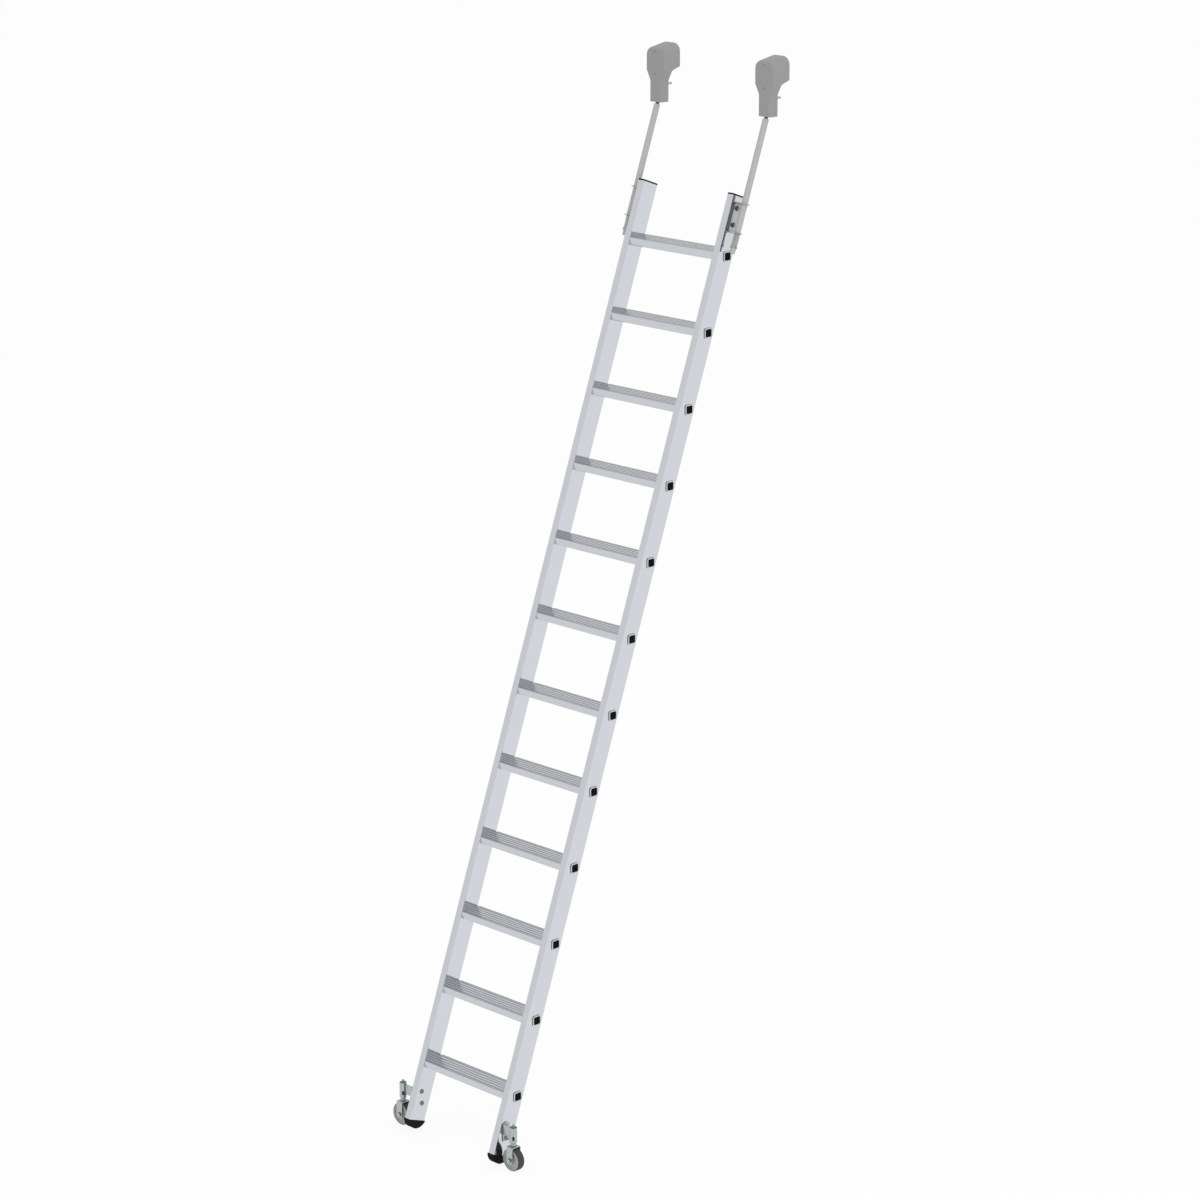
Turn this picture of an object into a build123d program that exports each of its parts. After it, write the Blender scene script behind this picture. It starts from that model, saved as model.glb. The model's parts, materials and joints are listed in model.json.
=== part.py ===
from build123d import *
import os
from math import asin, cos, degrees, radians, sin, sqrt

# Mobile step ladder: two leaning stiles with deep steps, sprung roller hooks that hang on a round
# shelf rail, and a sprung castor on the outer side of each stile. Its rubber feet stay off the floor
# until someone's weight presses the castor springs in.
# Millimetres and degrees. +X is to the right of someone who climbs, +Y points to the shelf, +Z is up.
# The origin is on the floor, in the middle of the ladder's width and depth.

# Frame
lean = 20  # stiles, from plumb
ladder_width = 420  # over both stiles
stile_width = 25
stile_depth = 68.5
stile_wall = 2
stile_corner = 3
step_count = 12
step_pitch = 250  # along the stile
lower_end = 193.7  # stile's lower end to the lowest spigot
upper_end = 193.8  # highest spigot to the stile's upper end

# Steps: a grooved tread on a box spigot, whose ends are flared to a collar outside the stiles
spigot_setback = 43  # stile's front face to the spigot's centre
spigot_width = 29.4
spigot_height = 28.2
spigot_wall = 2
spigot_corner = 4
spigot_fit = 0.1
collar_rim = 3.2
collar_corner = 8
collar_depth = 2.5
collar_round = 0.8
tread_front = 38.2  # spigot's centre to the nose
tread_back = 39.8  # spigot's centre to the rear lip
tread_wall = 3.5
nose_height = 22.6
nose_wall = 2.5
nose_return = 7
nose_round = 3
lip_height = 13
lip_wall = 2
groove_count = 5
groove_pitch = 13.7
groove_width = 4
groove_depth = 1.5
plug_depth = 14
plug_recess = 0.2
plug_fit = 0.05

# Stile ends
cap_thickness = 2.5
cap_bevel = 1
cap_insert = 14
cap_wall = 2
insert_fit = 0.1
foot_lip = 1  # foot stands out from the stile
foot_side = 5  # straight part of the foot's sides
foot_depth = 28  # below the stile's end, at mid-depth
foot_insert = 30
sole_length = 14
sole_gap = 9  # sole above the floor, with no one on the ladder
rib_pitch = 10
rib_groove_width = 2.4
rib_groove_depth = 1.6

# Fasteners
bolt_diameter = 8
bolt_hole_gap = 0.2
thread_gap = 0.05
hex_flats = 13
hex_head_height = 5.3
nut_height = 6.5
bolt_end = 2  # beyond the nut
button_diameter = 14.6
button_height = 4.4
button_bevel = 1.5
socket_flats = 5
socket_depth = 2.5

# Wheels
wheel_radius = 37.5
tyre_width = 28
tyre_depth = 5.5
tyre_shoulder = 5
hub_inset = 1  # hub's rim inside the tyre's side
hub_rim = 4
hub_recess = 2.5
boss_radius = 11
bush_wall = 2
bush_gap = 0.2  # bush end to the fork's leg
axle_fit = 0.06

# Castors
castor_reach = 50  # stile's outer face to the castor's axis
castor_setback = 40  # stile's lower front edge to the castor's axis
castor_travel = 12
travel_spare = 0.5
fork_sheet = 3
fork_width = 26
fork_bend = 5
fork_side_gap = 1.5  # tyre to leg
fork_headroom = 4.5  # tyre to crown
plunger_length = 27.5
plunger_fit = 0.05
guide_rod_length = 45
guide_rod_fit = 0.1
tube_diameter = 24
tube_wall = 3
tube_length = 51
tube_lid = 3
tube_lid_drop = 3  # rim to lid
cross_pin_diameter = 6
cross_pin_rise = 20.5  # above the fork's crown
cross_pin_proud = 1
slot_gap = 0.5
slot_turn = 45  # from the front towards +X
castor_spring_wire = 2
castor_spring_coils = 6
castor_spring_gap = 0.4  # coil to bore
castor_sheet = 3
castor_plate_width = 31
castor_bolt_drop = 15  # tube's rim to the upper bolt
castor_bolt_spacing = 41
castor_plate_edge = 7.5
leg_height = 35
leg_drop = 3.5

# Hook brackets and rods
hook_sheet = 3
hook_bracket_length = 97.5
hook_bracket_drop = 21.5  # below the stile's upper end
hook_bracket_width = 30
hook_bend = 4
ear_reach = 43.5
ear_corner = 9
ear_fit = 0.1
hook_bolt_rise = 25  # above the bracket's lower edge
hook_bolt_spacing = 54
hook_bolt_length = 18
rod_diameter = 20
rod_tail_diameter = 16  # from the lower ear downwards
rod_length = 438
rod_reach = 29.2  # stile's outer face to the rod
rod_setback = 31.2  # stile's front face to the rod
rod_tail = 18.5  # below the cross pin
rod_pin_diameter = 5
rod_pin_length = 26
rod_pin_fit = 0.05
rod_spring_length = 42
rod_spring_wire = 2.5
rod_spring_coils = 9
rod_spring_gap = 0.6  # coil to rod
washer_thickness = 2
washer_diameter = 22
washer_fit = 0.05
stud_diameter = 12  # in the hook
stud_base_diameter = 15  # in the rod
stud_fit = 0.05
stud_gap = 8  # rod's end to the hook
stud_in_rod = 25
stud_in_hook = 30

# Roller hooks
rail_diameter = 30
rail_gap = 2.5  # rail to neck
rail_play = 20  # rail to anti-lift pin
hook_wall = 3
hook_front = 12.6  # ahead of the rod's axis, at the neck's lower end
neck_width = 52.5
neck_depth = 40
neck_height = 68.5
hook_width = 86
hook_depth = 75.5
hook_height = 176  # at the front
hook_rise = 13.5  # top, from the front to the back
hook_corner = 8
hook_crown = 28
shoulder_height = 102
overhang_start = 103.5
overhang_end = 114.5
roller_height = 133  # above the neck's lower end
roller_groove_radius = 25
roller_flange = 4
roller_width = 24
groove_ease = 1
roller_axle_diameter = 10
roller_fit = 0.06
axle_boss_diameter = 18
roller_end_gap = 2
axle_depth = 20  # into the boss
lift_pin_diameter = 8
lift_pin_length = 35
lift_pin_depth = 16
lift_pin_fit = 0.05

# Sizes that follow
slope = radians(lean)
up_stile = Vector(0, sin(slope), cos(slope))
stile_length = lower_end + (step_count - 1) * step_pitch + upper_end
outer_face = ladder_width / 2
inner_face = outer_face - stile_width
stile_x = (outer_face + inner_face) / 2
sides = {"left": -1, "right": 1}

foot_half = stile_depth / 2 + foot_lip
rocker_sag = foot_depth - foot_side
rocker_radius = (foot_half**2 + rocker_sag**2) / (2 * rocker_sag)
rocker_rise = rocker_radius - foot_depth
sole_drop = sqrt(rocker_radius**2 - (sole_length / 2) ** 2)
stile_end_height = sole_gap + sole_drop + stile_depth / 2 * sin(slope) - rocker_rise * cos(slope)

spigot_hole_width = spigot_width - 2 * spigot_wall
spigot_hole_height = spigot_height - 2 * spigot_wall

bolt_radius = bolt_diameter / 2
castor_x = outer_face + castor_reach
fork_half = tyre_width / 2 + fork_side_gap + fork_sheet
fork_top = 2 * wheel_radius + fork_headroom + fork_sheet
tube_low = fork_top + castor_travel + travel_spare
tube_high = tube_low + tube_length
tube_bore = tube_diameter / 2 - tube_wall
lid_top = tube_high - tube_lid_drop
plunger_top = fork_top + plunger_length
cross_pin_height = fork_top + cross_pin_rise
castor_plate_front = castor_setback - castor_sheet / 2
castor_plate_y = castor_plate_front + castor_plate_width / 2
castor_bolt_heights = [tube_high - castor_bolt_drop - i * castor_bolt_spacing for i in range(2)]

hook_bracket_low = stile_length - hook_bracket_drop - hook_bracket_length
hook_bolt_places = [hook_bracket_low + hook_bolt_rise + i * hook_bolt_spacing for i in range(2)]
rod_x = outer_face + rod_reach
washer_low = hook_bracket_low - rod_spring_length - washer_thickness
rod_pin_place = washer_low - rod_pin_diameter / 2
rod_low = rod_pin_place - rod_tail
rod_high = rod_low + rod_length
ear_top = hook_bracket_low + hook_sheet

hook_back = hook_depth - hook_front
neck_back = neck_depth - hook_front
rail_y = neck_back + rail_gap + rail_diameter / 2
roller_inner_end = rail_y - roller_width / 2
rail_height = roller_height - roller_groove_radius - rail_diameter / 2
lift_pin_height = rail_height - rail_diameter / 2 - rail_play - lift_pin_diameter / 2


def on_stile(along, back, x=0):
    """Point that lies along the stile from its lower end, and back from its front face."""
    y = along * sin(slope) + back * cos(slope)
    return Vector(x, y, stile_end_height + along * cos(slope) - back * sin(slope))


def stile_frame(x):
    """Frame at the stile's lower end: Y goes back from its front face, Z up along it."""
    return Location(Plane(on_stile(0, 0, x), x_dir=(1, 0, 0), z_dir=up_stile))


def bar(radius, start, end):
    """Round bar between two points."""
    run = Vector(*end) - Vector(*start)
    return extrude(Plane(start, z_dir=run) * Circle(radius), run.length)


def block(x, y, z):
    """Block between pairs of coordinates."""
    middle = [(low + high) / 2 for low, high in (x, y, z)]
    return Pos(*middle) * Box(x[1] - x[0], y[1] - y[0], z[1] - z[0])


def disc(radius, low, high):
    """Round block on the Z axis."""
    return Pos(0, 0, low) * extrude(Circle(radius), high - low)


def ring(outer, inner, low, high):
    """Round ring on the Z axis."""
    return Pos(0, 0, low) * extrude(Circle(outer) - Circle(inner), high - low)


def hexagon(flats, height):
    """Six-sided prism on the Z axis."""
    return extrude(RegularPolygon(flats / 2, 6, major_radius=False), height)


def nut():
    """Hexagon nut that sits on the XY plane."""
    return hexagon(hex_flats, nut_height) - Cylinder(bolt_radius + thread_gap, 3 * nut_height)


def hex_bolt(length):
    """Hexagon bolt with its head above the XY plane and its shank below."""
    return hexagon(hex_flats, hex_head_height) + bar(bolt_radius, (0, 0, -length), (0, 0, 0))


def button_bolt(length):
    """Button-head bolt with a hexagon socket, its head above the XY plane."""
    head = extrude(Circle(button_diameter / 2), button_height)
    head = chamfer(head.edges().group_by(Axis.Z)[-1], button_bevel)
    head -= Pos(0, 0, button_height - socket_depth) * hexagon(socket_flats, socket_depth)
    return head + bar(bolt_radius, (0, 0, -length), (0, 0, 0))


def coil(radius, wire, turns, length):
    """Compression spring on the Z axis, between the XY plane and its length."""
    rise = length - wire
    path = Pos(0, 0, wire / 2) * Helix(rise / turns, rise, radius)
    wire_section = RegularPolygon(wire / 2, 6)
    return sweep(Plane(path @ 0, z_dir=path % 0) * wire_section, path, is_frenet=True)


def outward(side):
    """Frame on a stile's outer face side, with its Z axis pointing away from the ladder."""
    return Rot(0, 90 * side, 0)


def step_centre(level):
    return on_stile(lower_end + level * step_pitch, spigot_setback)


def castor_bolt_place(side, x, height):
    return Pos(side * x, castor_plate_y, height) * outward(side)


def hook_bolt_place(side, x, along):
    """Place on the side of a stile, in line with the rod, in the stile's own tilt."""
    return Pos(*on_stile(along, rod_setback, side * x)) * Rot(-lean, 0, 0) * outward(side)


def stile(side):
    """Rectangular tube with the holes for spigots and bolts."""
    tube = RectangleRounded(stile_width, stile_depth, stile_corner)
    tube -= Rectangle(stile_width - 2 * stile_wall, stile_depth - 2 * stile_wall)
    body = stile_frame(side * stile_x) * extrude(Pos(0, stile_depth / 2) * tube, stile_length)
    hole = Box(2 * stile_width, spigot_width + 2 * spigot_fit, spigot_height + 2 * spigot_fit)
    holes = [Pos(side * stile_x, 0, 0) * Pos(*step_centre(level)) * hole for level in range(step_count)]
    drill = Cylinder(bolt_radius + bolt_hole_gap, 2 * stile_width)
    holes += [castor_bolt_place(side, stile_x, height) * drill for height in castor_bolt_heights]
    blind = Cylinder(bolt_radius + bolt_hole_gap, stile_width)
    holes += [hook_bolt_place(side, outer_face, along) * blind for along in hook_bolt_places]
    return body - holes


def tread_section():
    """Tread with nose, rear lip and grooves. X goes back and Y up from the spigot's centre."""
    top = spigot_height / 2 + tread_wall
    under = top - tread_wall
    nose = -tread_front
    nose_low = top - nose_height
    inner_nose = (nose + nose_wall, nose_low + nose_wall)
    lip = tread_back - lip_wall
    outline = Polygon(
        (nose, top),
        (nose, nose_low),
        (nose + nose_return, nose_low),
        (nose + nose_return, inner_nose[1]),
        inner_nose,
        (inner_nose[0], under),
        (lip, under),
        (lip, top - lip_height),
        (tread_back, top - lip_height),
        (tread_back, top),
        align=None,
    )
    outline = fillet(outline.vertices().group_by(Axis.Y)[-1].sort_by(Axis.X)[0], nose_round)
    groove = Rectangle(groove_width, 2 * groove_depth)
    for i in range(groove_count):
        outline -= Pos((i - (groove_count - 1) / 2) * groove_pitch, top) * groove
    return outline


def step(level):
    """One step: the tread between the stiles, and its spigot with a flared collar at each end."""
    hole = RectangleRounded(spigot_hole_width, spigot_hole_height, spigot_corner)
    flare = RectangleRounded(spigot_width + 2 * collar_rim, spigot_height + 2 * collar_rim, collar_corner)
    section = tread_section() + Rectangle(spigot_width, spigot_height)
    body = extrude(Plane.YZ * section, inner_face, both=True)
    body += extrude(Plane.YZ * Rectangle(spigot_width, spigot_height), outer_face, both=True)
    for side in sides.values():
        collar = extrude(Plane.YZ.offset(side * outer_face) * flare, side * collar_depth)
        rim = collar.faces().sort_by(Axis((0, 0, 0), (side, 0, 0)))[-1]
        body += fillet(rim.edges(), collar_round)
    body -= extrude(Plane.YZ * hole, outer_face + collar_depth, both=True)
    return Pos(*step_centre(level)) * body


def step_end_plugs():
    """Plugs that close the open ends of the spigots."""
    width = spigot_hole_width - 2 * plug_fit
    height = spigot_hole_height - 2 * plug_fit
    plug = extrude(RectangleRounded(height, width, spigot_corner - plug_fit), -plug_depth)
    reach = outer_face + collar_depth - plug_recess
    return [
        Pos(*step_centre(level)) * Pos(side * reach, 0, 0) * outward(side) * plug
        for side in sides.values()
        for level in range(step_count)
    ]


def stile_insert(fit, height):
    """Section that fits inside a stile, raised along it from its end."""
    width = stile_width - 2 * stile_wall - 2 * fit
    depth = stile_depth - 2 * stile_wall - 2 * fit
    return extrude(Pos(0, stile_depth / 2) * Rectangle(width, depth), height)


def top_cap(side):
    """Cap on a stile's upper end, with a hollow skirt inside it."""
    outline = RectangleRounded(stile_width, stile_depth, stile_corner)
    plate = extrude(Pos(0, stile_depth / 2) * outline, cap_thickness)
    plate = chamfer(plate.edges().group_by(Axis.Z)[-1], cap_bevel)
    skirt = stile_insert(insert_fit, -cap_insert) - stile_insert(insert_fit + cap_wall, -cap_insert)
    return stile_frame(side * stile_x) * Pos(0, 0, stile_length) * (plate + skirt)


def foot(side):
    """Rubber rocker foot with cross ribs, a flat sole and an insert in the stile."""
    middle = stile_depth / 2
    front, back = middle - foot_half, middle + foot_half
    edge = Polyline((front, -foot_side), (front, 0), (back, 0), (back, -foot_side))
    edge += ThreePointArc((back, -foot_side), (middle, -foot_depth), (front, -foot_side))
    rocker = extrude(Plane.YZ * make_face(edge), stile_width / 2 + foot_lip, both=True)
    reach = degrees(asin(foot_half / rocker_radius))
    sole_reach = degrees(asin(sole_length / 2 / rocker_radius))
    groove = Box(2 * stile_width, rib_groove_width, 2 * rib_groove_depth)
    for way in (-1, 1):
        angle = lean + way * (sole_reach + rib_pitch / 2)
        while abs(angle) < reach - rib_pitch / 2:
            rocker -= Pos(0, middle, rocker_rise) * Rot(angle, 0, 0) * Pos(0, 0, -rocker_radius) * groove
            angle += way * rib_pitch
    body = stile_frame(side * stile_x) * (rocker + stile_insert(insert_fit, foot_insert))
    below = (side * stile_x - stile_width, side * stile_x + stile_width)
    return body - block(below, (-stile_depth, 2 * stile_depth), (0, sole_gap))


def castor_bracket(side):
    """Plate on the stile, a leg and the guide tube with its slot and its sunk lid."""
    plate_low = castor_bolt_heights[1] - castor_plate_edge
    plate_high = castor_bolt_heights[0]
    plate_back = castor_plate_front + castor_plate_width
    face = sorted((side * outer_face, side * (outer_face + castor_sheet)))
    body = block(face, (castor_plate_front, plate_back), (plate_low, plate_high))
    body += castor_bolt_place(side, outer_face, plate_high) * disc(castor_plate_width / 2, 0, castor_sheet)
    leg_high = tube_high - leg_drop
    reach = sorted((side * outer_face, side * (castor_x - tube_bore - tube_wall / 2)))
    leg_back = castor_plate_front + castor_sheet
    body += block(reach, (castor_plate_front, leg_back), (leg_high - leg_height, leg_high))
    drill = Cylinder(bolt_radius + bolt_hole_gap, stile_width)
    body -= [castor_bolt_place(side, outer_face, height) * drill for height in castor_bolt_heights]
    tube = disc(tube_diameter / 2, tube_low, tube_high)
    tube -= disc(tube_bore, tube_low, lid_top - tube_lid)
    tube -= disc(tube_bore, lid_top, tube_high)
    tube -= disc(bolt_radius + guide_rod_fit, tube_low, tube_high)
    across = Plane((0, 0, cross_pin_height + castor_travel / 2), x_dir=(0, 0, 1), z_dir=(0, 1, 0))
    slot_width = cross_pin_diameter + 2 * slot_gap
    slot = extrude(across * SlotOverall(castor_travel + slot_width, slot_width), tube_diameter, both=True)
    tube -= Rot(0, 0, slot_turn) * slot
    return body + Pos(side * castor_x, castor_setback, 0) * tube


def castor_bracket_bolts():
    """Bolts that go through each stile, with their heads on its inner face."""
    length = stile_width + castor_sheet + nut_height + bolt_end
    return [
        Pos(side * inner_face, castor_plate_y, height) * outward(-side) * button_bolt(length)
        for side in sides.values()
        for height in castor_bolt_heights
    ]


def castor_bracket_nuts():
    return [
        castor_bolt_place(side, outer_face + castor_sheet, height) * nut()
        for side in sides.values()
        for height in castor_bolt_heights
    ]


def castor_frame(side):
    """Frame on the floor under a castor's axis."""
    return Pos(side * castor_x, castor_setback, 0)


def castor_fork(side):
    """Bent strip over the wheel, with the plunger and its guide rod."""
    arch = Pos(0, fork_top / 2) * Rectangle(2 * fork_half, fork_top)
    arch = fillet(arch.vertices().group_by(Axis.Y)[-1], fork_bend)
    under = fork_top - fork_sheet
    gap = Pos(0, under / 2) * Rectangle(2 * (fork_half - fork_sheet), under)
    gap = fillet(gap.vertices().group_by(Axis.Y)[-1], fork_bend - fork_sheet)
    strip = extrude(Plane.YZ * (arch - gap), fork_width / 2, both=True)
    leg = Pos(0, (wheel_radius + fork_top) / 2) * Rectangle(fork_width, fork_top - wheel_radius)
    leg += Pos(0, wheel_radius) * Circle(fork_width / 2)
    leg -= Pos(0, wheel_radius) * Circle(bolt_radius + bolt_hole_gap)
    strip &= extrude(Plane.XZ * leg, fork_half, both=True)
    plunger = bar(tube_bore - plunger_fit, (0, 0, fork_top), (0, 0, plunger_top))
    plunger += bar(bolt_radius, (0, 0, plunger_top), (0, 0, plunger_top + guide_rod_length))
    plunger -= cross_pin(thread_gap)
    return castor_frame(side) * (strip + plunger)


def cross_pin(gap=0):
    """Pin across the plunger that runs in the tube's slot, on the castor's own axis."""
    reach = tube_diameter / 2 + cross_pin_proud
    pin = bar(cross_pin_diameter / 2 + gap, (0, -reach, 0), (0, reach, 0))
    return Pos(0, 0, cross_pin_height) * Rot(0, 0, slot_turn) * pin


def castor_spring(side):
    """Spring between the plunger and the tube's lid."""
    radius = tube_bore - castor_spring_gap - castor_spring_wire / 2
    spring = coil(radius, castor_spring_wire, castor_spring_coils, lid_top - tube_lid - plunger_top)
    return castor_frame(side) * Pos(0, 0, plunger_top) * spring


def wheel_frame(side):
    """Frame on a wheel's axis, with its Z axis pointing to the front."""
    return Pos(side * castor_x, castor_setback, wheel_radius) * Rot(90, 0, 0)


def wheel_axle(side):
    """Axle bolt through both legs of the fork, and its nut."""
    bolt = Pos(0, 0, fork_half) * hex_bolt(2 * fork_half + nut_height + bolt_end)
    back_nut = Pos(0, 0, -fork_half) * Rot(180, 0, 0) * nut()
    return [wheel_frame(side) * piece for piece in (bolt, back_nut)]


def wheel_bush(side):
    inner = bolt_radius + axle_fit
    half = fork_half - fork_sheet - bush_gap
    return wheel_frame(side) * ring(inner + bush_wall, inner, -half, half)


def wheel_hub(side):
    """Hub with a rim, a sunk web and a boss round the bush."""
    rim = wheel_radius - tyre_depth
    half = tyre_width / 2 - hub_inset
    body = ring(rim, bolt_radius + axle_fit + bush_wall, -half, half)
    for low in (-half, half - hub_recess):
        body -= ring(rim - hub_rim, boss_radius, low, low + hub_recess)
    return wheel_frame(side) * body


def wheel_tyre(side):
    half = tyre_width / 2
    body = ring(wheel_radius, wheel_radius - tyre_depth, -half, half)
    shoulders = body.edges().filter_by(GeomType.CIRCLE).group_by(SortBy.RADIUS)[-1]
    return wheel_frame(side) * fillet(shoulders, tyre_shoulder)


def hook_bracket(side):
    """Bent plate on the stile's outer face, with an ear below and above for the rod."""
    low, high = hook_bracket_low, hook_bracket_low + hook_bracket_length
    outline = Polygon(
        (0, low),
        (ear_reach, low),
        (ear_reach, low + hook_sheet),
        (hook_sheet, low + hook_sheet),
        (hook_sheet, high - hook_sheet),
        (ear_reach, high - hook_sheet),
        (ear_reach, high),
        (0, high),
        align=None,
    )
    outline = fillet(outline.vertices().group_by(Axis.X)[0], hook_bend)
    body = Pos(0, rod_setback, 0) * extrude(Plane.XZ * outline, hook_bracket_width / 2, both=True)
    body = fillet(body.edges().filter_by(Axis.Z).group_by(Axis.X)[-1], ear_corner)
    holes = disc(rod_tail_diameter / 2 + ear_fit, low, ear_top)
    holes += disc(rod_diameter / 2 + ear_fit, ear_top, high)
    body -= Pos(rod_reach, rod_setback, 0) * holes
    if side < 0:
        body = mirror(body, about=Plane.YZ)
    body = stile_frame(side * outer_face) * body
    drill = Cylinder(bolt_radius + bolt_hole_gap, stile_width)
    return body - [hook_bolt_place(side, outer_face, along) * drill for along in hook_bolt_places]


def hook_bracket_bolts():
    return [
        hook_bolt_place(side, outer_face + hook_sheet, along) * hex_bolt(hook_bolt_length)
        for side in sides.values()
        for along in hook_bolt_places
    ]


def rod_frame(side):
    """Frame on a rod's axis, at the level of the stile's lower end."""
    return stile_frame(side * rod_x) * Pos(0, rod_setback, 0)


def rod_pin(gap=0):
    half = rod_pin_length / 2
    return bar(rod_pin_diameter / 2 + gap, (-half, 0, rod_pin_place), (half, 0, rod_pin_place))


def rod(side):
    """Rod that slides in the bracket's ears and rests on the lower one, where its tail begins."""
    body = disc(rod_diameter / 2, ear_top, rod_high)
    body += disc(rod_tail_diameter / 2, rod_low, ear_top)
    body -= disc(stud_base_diameter / 2 + stud_fit, rod_high - stud_in_rod, rod_high)
    return rod_frame(side) * (body - rod_pin(rod_pin_fit))


def rod_washer(side):
    """Thrust washer between the spring and the cross pin."""
    inner = rod_tail_diameter / 2 + washer_fit
    return rod_frame(side) * ring(washer_diameter / 2, inner, washer_low, washer_low + washer_thickness)


def rod_spring(side):
    radius = rod_tail_diameter / 2 + rod_spring_gap + rod_spring_wire / 2
    spring = coil(radius, rod_spring_wire, rod_spring_coils, rod_spring_length)
    return rod_frame(side) * Pos(0, 0, hook_bracket_low - rod_spring_length) * spring


def rod_stud(side):
    """Stepped stud from the rod's upper end into the hook's neck."""
    body = disc(stud_base_diameter / 2, rod_high - stud_in_rod, rod_high)
    body += disc(stud_diameter / 2, rod_high, rod_high + stud_gap + stud_in_hook)
    return rod_frame(side) * body


def hook_frame(side):
    """Upright frame where the rod's axis enters the hook's neck."""
    return Pos(*on_stile(rod_high + stud_gap, rod_setback, side * rod_x))


def neck_plan(width, height):
    """Level section of the neck, flush with the hook's front face."""
    return Pos(0, neck_depth / 2 - hook_front, height) * RectangleRounded(width, neck_depth, hook_corner)


def bulb(inset=0):
    """Upper part of the hook down to the floor of its frame, drawn in by an inset."""
    top = hook_height - inset
    arch = Pos(0, top / 2) * Rectangle(hook_width - 2 * inset, top)
    arch = fillet(arch.vertices().group_by(Axis.Y)[-1], hook_crown - inset)
    depth = hook_depth - 2 * inset
    run = Vector(0, depth, hook_rise * depth / hook_depth)
    body = Pos(0, inset - hook_front, 0) * extrude(Plane.XZ * arch, run.length, dir=run.normalized())
    ends = body.faces().filter_by(Axis.Y)
    rims = [edge for end in ends for edge in end.edges().sort_by(Axis.Z)[1:]]
    return fillet(rims, hook_corner - inset)


def hook_housing(side):
    """Moulded hook: a neck that widens to a bulb, whose overhang holds the roller and is open below."""
    neck = extrude(neck_plan(neck_width, 0), neck_height)
    shoulder = loft([neck_plan(neck_width, neck_height), neck_plan(hook_width, shoulder_height)])
    below = Polygon(
        (-hook_depth, 0),
        (-hook_depth, shoulder_height),
        (neck_back, shoulder_height),
        (neck_back, overhang_start),
        (hook_back, overhang_end),
        (hook_back, 0),
        align=None,
    )
    body = neck + shoulder + (bulb() - extrude(Plane.YZ * below, hook_width, both=True))

    room_floor = (-hook_depth, neck_back + hook_wall)
    room = bulb(hook_wall) - block((-hook_width, hook_width), room_floor, (0, overhang_start + hook_wall))
    body -= room
    boss = (0, roller_inner_end - roller_end_gap, roller_height)
    body += bar(axle_boss_diameter / 2, (0, hook_wall - hook_front, roller_height), boss)
    body -= axle_bar()
    body -= lift_pin(lift_pin_fit)
    socket = Rot(-lean, 0, 0) * disc(stud_diameter / 2 + stud_fit, -stud_in_hook, stud_in_hook)
    return hook_frame(side) * (body - socket)


def lift_pin(gap=0):
    """Pin under the rail that keeps the hook from lifting off."""
    start = (0, neck_back - lift_pin_depth, lift_pin_height)
    return bar(lift_pin_diameter / 2 + gap, start, (0, neck_back + lift_pin_length, lift_pin_height))


def axle_bar():
    """The roller's axle, from inside the boss to the back of the hook."""
    start = (0, roller_inner_end - roller_end_gap - axle_depth, roller_height)
    return bar(roller_axle_diameter / 2, start, (0, hook_back, roller_height))


def roller_axle(side):
    return hook_frame(side) * axle_bar()


def roller(side):
    """Grooved roller that rides on the rail."""
    half = roller_width / 2
    flange = roller_groove_radius + roller_flange
    body = ring(flange, roller_axle_diameter / 2 + roller_fit, -half, half)
    groove = rail_diameter / 2 + groove_ease
    body -= revolve(Plane.XZ * Pos(roller_groove_radius + groove, 0) * Circle(groove), Axis.Z)
    return hook_frame(side) * Pos(0, rail_y, roller_height) * Rot(90, 0, 0) * body


nodes = {f"step_{level + 1:02d}": step(level) for level in range(step_count)}
nodes["step_end_plugs"] = step_end_plugs()
nodes["castor_bracket_bolts"] = castor_bracket_bolts()
nodes["castor_bracket_nuts"] = castor_bracket_nuts()
nodes["hook_bracket_bolts"] = hook_bracket_bolts()
paired = [stile, top_cap, foot, castor_bracket, hook_bracket, castor_spring, rod_spring]
paired += [castor_fork, wheel_axle, wheel_hub, wheel_tyre, wheel_bush]
paired += [rod, rod_washer, rod_stud, hook_housing, roller_axle, roller]
for name, side in sides.items():
    for piece in paired:
        nodes[f"{name}_{piece.__name__}"] = piece(side)
    nodes[f"{name}_castor_guide_pin"] = castor_frame(side) * cross_pin()
    nodes[f"{name}_castor_stem_nut"] = castor_frame(side) * Pos(0, 0, lid_top) * nut()
    nodes[f"{name}_rod_cross_pin"] = rod_frame(side) * rod_pin()
    nodes[f"{name}_anti_lift_pin"] = hook_frame(side) * lift_pin()

# Groups of like pieces become one compound, and the floor's origin moves under the middle of the ladder
shapes = {}
for name, piece in nodes.items():
    shapes[name] = Compound(children=piece) if isinstance(piece, list) else piece
foot_front = shapes["left_foot"].bounding_box().min.Y
hook_rear = shapes["left_hook_housing"].bounding_box().max.Y
to_origin = Pos(0, -(foot_front + hook_rear) / 2, 0)

os.makedirs("parts", exist_ok=True)
for name, shape in shapes.items():
    export_step(to_origin * shape, f"parts/{name}.step")
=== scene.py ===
import json
from math import asin, cos, pi, radians, sin, tan

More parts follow.
